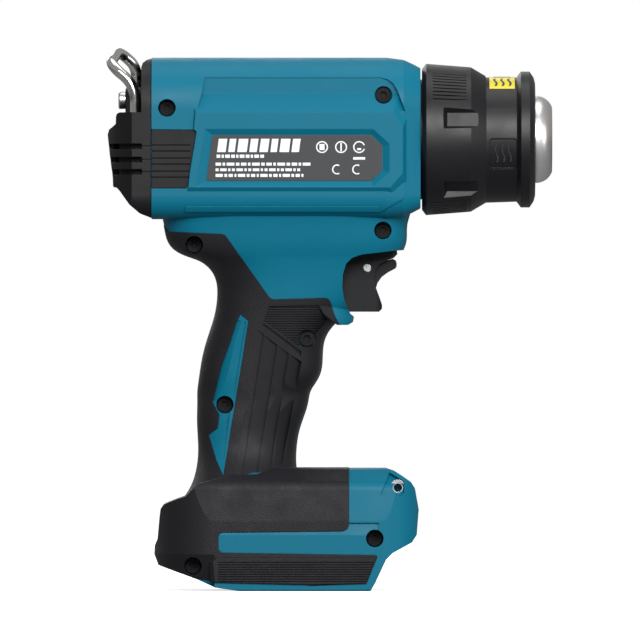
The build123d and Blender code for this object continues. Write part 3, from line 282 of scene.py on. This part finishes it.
LOOKS = {
    "shell_plastic": moulded("shell_plastic", srgb(0, 98, 122), rough=(0.44, 0.54), edge=0.25,
                             specular=0.16),
    "grip_rubber": rubber("grip_rubber", srgb(17, 17, 21)),
    "dark_plastic": moulded("dark_plastic", srgb(14, 14, 17), rough=(0.46, 0.58), grain=2100,
                            depth=0.03, specular=0.24),
    "heat_plastic": moulded("heat_plastic", srgb(16, 15, 18), rough=(0.38, 0.5), grain=2600,
                            specular=0.32),
    "label_film": film("label_film", srgb(26, 27, 31), 0.4),
    "sticker_film": film("sticker_film", srgb(196, 182, 22), 0.45),
    "chrome_wire": metal("chrome_wire", srgb(214, 212, 208), (0.1, 0.22), scale=400),
    "zinc_screw": metal("zinc_screw", srgb(196, 196, 198), (0.2, 0.42)),
    "black_screw": metal("black_screw", srgb(30, 30, 31), (0.38, 0.6)),
    "brass_insert": metal("brass_insert", srgb(205, 176, 104), (0.22, 0.4)),
    "polished_steel": turned_steel("polished_steel", srgb(222, 222, 222)),
    "mica_sheet": layered("mica_sheet", srgb(190, 170, 135), srgb(150, 126, 92), 420, 0.4),
    "coil_wire": metal("coil_wire", srgb(120, 108, 98), (0.3, 0.6), scale=1500),
    "inner_plastic": moulded("inner_plastic", srgb(58, 59, 62), rough=(0.45, 0.6)),
    "board_laminate": layered("board_laminate", srgb(20, 96, 52), srgb(14, 70, 40), 800, 0.25),
    "trigger_plastic": moulded("trigger_plastic", srgb(12, 13, 16), rough=(0.42, 0.52), depth=0.01,
                               specular=0.2),
    "contact_metal": metal("contact_metal", srgb(205, 196, 170), (0.2, 0.35),
                           streaks=(0.1, 1.0, 1.0)),
    "red_lead": moulded("red_lead", srgb(160, 24, 22), rough=(0.4, 0.55)),
    "black_lead": moulded("black_lead", srgb(30, 30, 32), rough=(0.4, 0.55)),
}
INK = film("label_ink", srgb(214, 216, 218), 0.4)
DARK_INK = film("sticker_ink", srgb(28, 26, 22), 0.4)
FELT = rubber("filter_felt", srgb(14, 14, 15))

for part in frame["record"]["subparts"]:
    mesh = nodes[part["node"]].data
    mesh.materials.clear()
    mesh.materials.append(LOOKS[part["material_slot"]].material)


# ---- small modelled details ---------------------------------------------------------------
LABEL_FACE = 0.0319  # distance of the label's surface from the middle plane
PRINT_THICKNESS = 0.00006


def box_outline(left, low, right, high, lean=0.0):
    """Corners of a bar, its top moved along by the lean."""
    return [(left, low), (right, low), (right + lean, high), (left + lean, high)]


def bar_row(left, right, low, high, widths, gap, lean=0.0):
    """A row of bars that stands in for a line of small print."""
    bars = []
    place = left
    count = 0
    while place + widths[count % len(widths)] <= right:
        width = widths[count % len(widths)]
        bars.append(box_outline(place, low, place + width, high, lean))
        place += width + gap
        count += 1
    return bars


def hoop_outline(middle_x, middle_z, reach, thickness, start=0.0, sweep=360.0, steps=24):
    """Quads that make up a round hoop or a part of one."""
    quads = []
    for step in range(steps):
        turns = [math.radians(start + sweep * (step + end) / steps) for end in (0, 1)]
        quad = [(middle_x + size * math.cos(turn), middle_z + size * math.sin(turn))
                for size, turn in ((reach, turns[0]), (reach, turns[1]),
                                   (reach - thickness, turns[1]), (reach - thickness, turns[0]))]
        quads.append(quad)
    return quads


def add_piece(name, corners, faces, look, body):
    """Put a closed mesh into the scene, riding on one body of the tool."""
    mesh = bpy.data.meshes.new(name)
    mesh.from_pydata(corners, [], faces)
    shape = bmesh.new()
    shape.from_mesh(mesh)
    bmesh.ops.recalc_face_normals(shape, faces=shape.faces)
    shape.to_mesh(mesh)
    shape.free()
    mesh.materials.append(look.material)
    piece = bpy.data.objects.new(name, mesh)
    scene.collection.objects.link(piece)
    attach(piece, body)


def raised(name, outlines, place, look, body):
    """One thin piece made of outlines in millimetres; place maps (across, up, lift) to space."""
    corners, faces = [], []
    for outline in outlines:
        start = len(corners)
        count = len(outline)
        for lift in (0, 1):
            corners += [place(across, up, lift) for across, up in outline]
        faces.append([start + index for index in range(count)])
        faces.append([start + count + index for index in reversed(range(count))])
        for index in range(count):
            after = (index + 1) % count
            far = start + count
            faces.append([start + index, far + index, far + after, start + after])
    add_piece(name, corners, faces, look, body)


LABEL_PRINT = (
    bar_row(-44.4, -9.0, 174.9, 180.2, (3.4, 2.6, 3.8, 3.0), 1.0, 0.7)
    + bar_row(-44.6, -25.0, 172.6, 173.9, (1.5, 0.9, 1.9), 0.5)
    + bar_row(-45.0, -5.2, 169.5, 170.7, (2.2, 1.0, 3.1, 1.4), 0.6)
    + bar_row(-45.0, -11.0, 167.3, 168.4, (1.2, 2.6, 0.9), 0.6)
    + bar_row(-45.0, -8.0, 165.0, 166.2, (2.9, 1.1, 1.7, 0.8), 0.6)
    + hoop_outline(-2.6, 176.9, 2.4, 0.5) + [box_outline(-3.6, 175.7, -1.6, 178.1)]
    + hoop_outline(5.0, 176.9, 2.4, 0.5) + [box_outline(4.7, 175.2, 5.3, 178.6)]
    + hoop_outline(12.2, 176.9, 2.4, 0.5, 20, 320) + [box_outline(11.4, 175.7, 13.0, 176.5)]
    + [box_outline(9.8, 171.9, 14.6, 172.9)]
    + hoop_outline(3.4, 168.0, 2.0, 0.5, 60, 240) + hoop_outline(11.4, 168.0, 2.0, 0.5, 60, 240)
)
LABEL_MIDDLE = -15.4
for side, word in ((-1, "right"), (1, "left")):
    def on_label(across, up, lift, side=side):
        along = LABEL_MIDDLE - side * (across - LABEL_MIDDLE)
        return (along * MM, side * (LABEL_FACE + lift * PRINT_THICKNESS), up * MM)

    raised("label_print_" + word, LABEL_PRINT, on_label, INK, "housing")

STICKER_RADIUS = 25.06
STICKER_PRINT = 0.05  # how thick the ink stands on the sticker
POCKET_RADIUS = 24.08  # floor of the moulded pocket
RELIEF_HEIGHT = 0.45


def around_barrel(radius, thickness):
    """Map (along X, degrees up from the right side) in millimetres onto a cylinder."""
    def place(along, angle, lift):
        reach = (radius + lift * thickness) * MM
        turn = math.radians(angle)
        return (along * MM, -reach * math.cos(turn), AXIS_HEIGHT + reach * math.sin(turn))
    return place


def wave(left, low, high, swing, thickness, steps=12):
    """Quads along an upright S-shaped line."""
    points = []
    for step in range(steps + 1):
        share = step / steps
        points.append((left + swing * math.sin(2 * math.pi * share), low + (high - low) * share))
    return [[(x0, z0), (x0 + thickness, z0), (x1 + thickness, z1), (x1, z1)]
            for (x0, z0), (x1, z1) in zip(points, points[1:])]


sticker_marks = []
for along in (66.2, 69.0, 71.8):
    sticker_marks += wave(along, 58, 76, 0.5, 0.9)
    sticker_marks += wave(along, 104, 122, 0.5, 0.9)
for angle in range(82, 98, 2):
    sticker_marks.append(box_outline(65.8, angle, 72.9, angle + 1.2))
on_sticker = around_barrel(STICKER_RADIUS, STICKER_PRINT)
raised("sticker_print", sticker_marks, on_sticker, DARK_INK, "nozzle_cover")

relief = []
for along in (67.0, 69.6, 72.2):
    relief += wave(along - 0.4, -23.0, -5.0, 0.55, 0.9)
in_pocket = around_barrel(POCKET_RADIUS, RELIEF_HEIGHT)
raised("heat_relief", relief, in_pocket, LOOKS["heat_plastic"], "nozzle_cover")

DIAL_FACE = -0.0862
DIAL_TICKS = 7
DIAL_HEIGHT = 0.170


def on_dial(across, up, lift):
    return (DIAL_FACE - lift * PRINT_THICKNESS, across * MM, DIAL_HEIGHT + up * MM)


ticks = []
for count in range(DIAL_TICKS):
    turn = math.radians(200 + 140 * count / (DIAL_TICKS - 1))
    inner, outer = 5.0 - 0.25 * count, 6.6
    away = Vector((math.cos(turn), math.sin(turn)))
    aside = Vector((-away.y, away.x)) * 0.25
    corners = (away * inner - aside, away * outer - aside,
               away * outer + aside, away * inner + aside)
    ticks.append([tuple(corner) for corner in corners])
raised("dial_marks", ticks, on_dial, INK, "dial")



# ---- light, floor and background ----------------------------------------------------------
def softbox(name, place, aim, size, power):
    """A rectangular studio light at one point, turned towards another."""
    data = bpy.data.lights.new(name, "AREA")
    data.shape = "RECTANGLE"
    data.size, data.size_y = size
    data.energy = power
    light = bpy.data.objects.new(name, data)
    scene.collection.objects.link(light)
    light.location = place
    light.rotation_euler = (Vector(aim) - Vector(place)).to_track_quat("-Z", "Y").to_euler()
    light.visible_camera = False


# A felt dust filter lines the rear cover behind its air slots.
FILTER_PLAN = ((-74.6, 28.7), (-78.6, 27.5), (-80.9, 24.3), (-82.6, 21.4), (-83.6, 17.6))
FILTER_LOW, FILTER_HIGH = 160.4, 180.4
FILTER_THICKNESS = 0.7
FILTER_PLEAT = 0.16  # how far each pleat stands proud
FILTER_ROWS = 52
FILTER_STEPS = 8  # divisions of each straight run of the plan


def filter_line():
    """Points along the plan of the filter, with the direction facing out of the cover."""
    points = []
    for (x0, y0), (x1, y1) in zip(FILTER_PLAN, FILTER_PLAN[1:]):
        length = math.hypot(x1 - x0, y1 - y0)
        outward = ((y1 - y0) / length, -(x1 - x0) / length)
        for step in range(FILTER_STEPS + 1):
            share = step / FILTER_STEPS
            points.append((x0 + (x1 - x0) * share, y0 + (y1 - y0) * share) + outward)
    return points


def filter_piece(side, word):
    """One pleated felt sheet behind the slots of one side."""
    line = filter_line()
    corners, faces = [], []
    for layer in (0, 1):
        for row in range(FILTER_ROWS + 1):
            height = FILTER_LOW + (FILTER_HIGH - FILTER_LOW) * row / FILTER_ROWS
            for column, (x, y, out_x, out_y) in enumerate(line):
                pleat = FILTER_PLEAT * math.sin(row * math.pi / 2) * math.cos(column * math.pi / 2)
                shift = pleat - layer * FILTER_THICKNESS
                place = (x + out_x * shift, side * (y + out_y * shift), height)
                corners.append(tuple(value * MM for value in place))
    wide, tall = len(line), FILTER_ROWS + 1
    back = wide * tall
    for row in range(tall - 1):
        for column in range(wide - 1):
            first = row * wide + column
            quad = [first, first + 1, first + wide + 1, first + wide]
            faces.append(quad)
            faces.append([back + index for index in reversed(quad)])
    rim = list(range(wide))
    rim += [row * wide + wide - 1 for row in range(1, tall)]
    rim += [(tall - 1) * wide + column for column in reversed(range(wide - 1))]
    rim += [row * wide for row in reversed(range(1, tall - 1))]
    for first, after in zip(rim, rim[1:] + rim[:1]):
        faces.append([first, back + first, back + after, after])
    add_piece("dust_filter_" + word, corners, faces, FELT, "housing")


filter_piece(-1, "right")
filter_piece(1, "left")

MIDDLE = (0.0, 0.0, 0.12)
softbox("key_light", (0.25, -1.7, 0.95), MIDDLE, (1.2, 0.9), 46)
softbox("top_light", (0.0, 0.1, 1.5), MIDDLE, (1.2, 0.9), 8)
softbox("side_light", (1.3, -0.9, 0.45), MIDDLE, (0.5, 0.9), 5)
softbox("back_light", (-0.5, 1.5, 0.9), MIDDLE, (1.2, 0.8), 8)

FLOOR_REACH = 60.0
FLOOR_GLOW = 0.7  # seen by the camera only, so that the paper stays pale
SKY_LIGHT, SKY_SEEN = 0.36, 1.0  # brightness of the surroundings for the tool and for the camera
floor_mesh = bpy.data.meshes.new("floor")
FLOOR_SIGNS = ((-1, -1), (1, -1), (1, 1), (-1, 1))
floor_corners = [(x * FLOOR_REACH, y * FLOOR_REACH, 0.0) for x, y in FLOOR_SIGNS]
floor_mesh.from_pydata(floor_corners, [], [(0, 1, 2, 3)])
floor = bpy.data.objects.new("floor", floor_mesh)
scene.collection.objects.link(floor)
floor_look = Look("floor_paper", Roughness=0.9, Emission_Color=(1.0, 1.0, 1.0, 1.0))
seen = floor_look.node("LightPath").outputs["Is Camera Ray"]
paper = floor_look.mix(floor_look.noise(6, 3), srgb(236, 236, 237), srgb(244, 244, 244))
floor_look.set("Base Color", floor_look.mix(seen, srgb(120, 120, 122), paper))
floor_look.set("Emission Strength", floor_look.maths("MULTIPLY", seen, FLOOR_GLOW))
floor_look.set("Normal", floor_look.bump(floor_look.noise(300, 3), 0.05 * MM, 0.3))
floor_mesh.materials.append(floor_look.material)

world = bpy.data.worlds.new("studio")
scene.world = world
world.use_nodes = True
sky = world.node_tree.nodes["Background"]
sky.inputs["Color"].default_value = (1.0, 1.0, 1.0, 1.0)
straight = world.node_tree.nodes.new("ShaderNodeLightPath")
brightness = world.node_tree.nodes.new("ShaderNodeMapRange")
brightness.inputs["To Min"].default_value = SKY_LIGHT
brightness.inputs["To Max"].default_value = SKY_SEEN
world.node_tree.links.new(straight.outputs["Is Camera Ray"], brightness.inputs["Value"])
world.node_tree.links.new(brightness.outputs[0], sky.inputs["Strength"])
scene.view_settings.view_transform = "Standard"
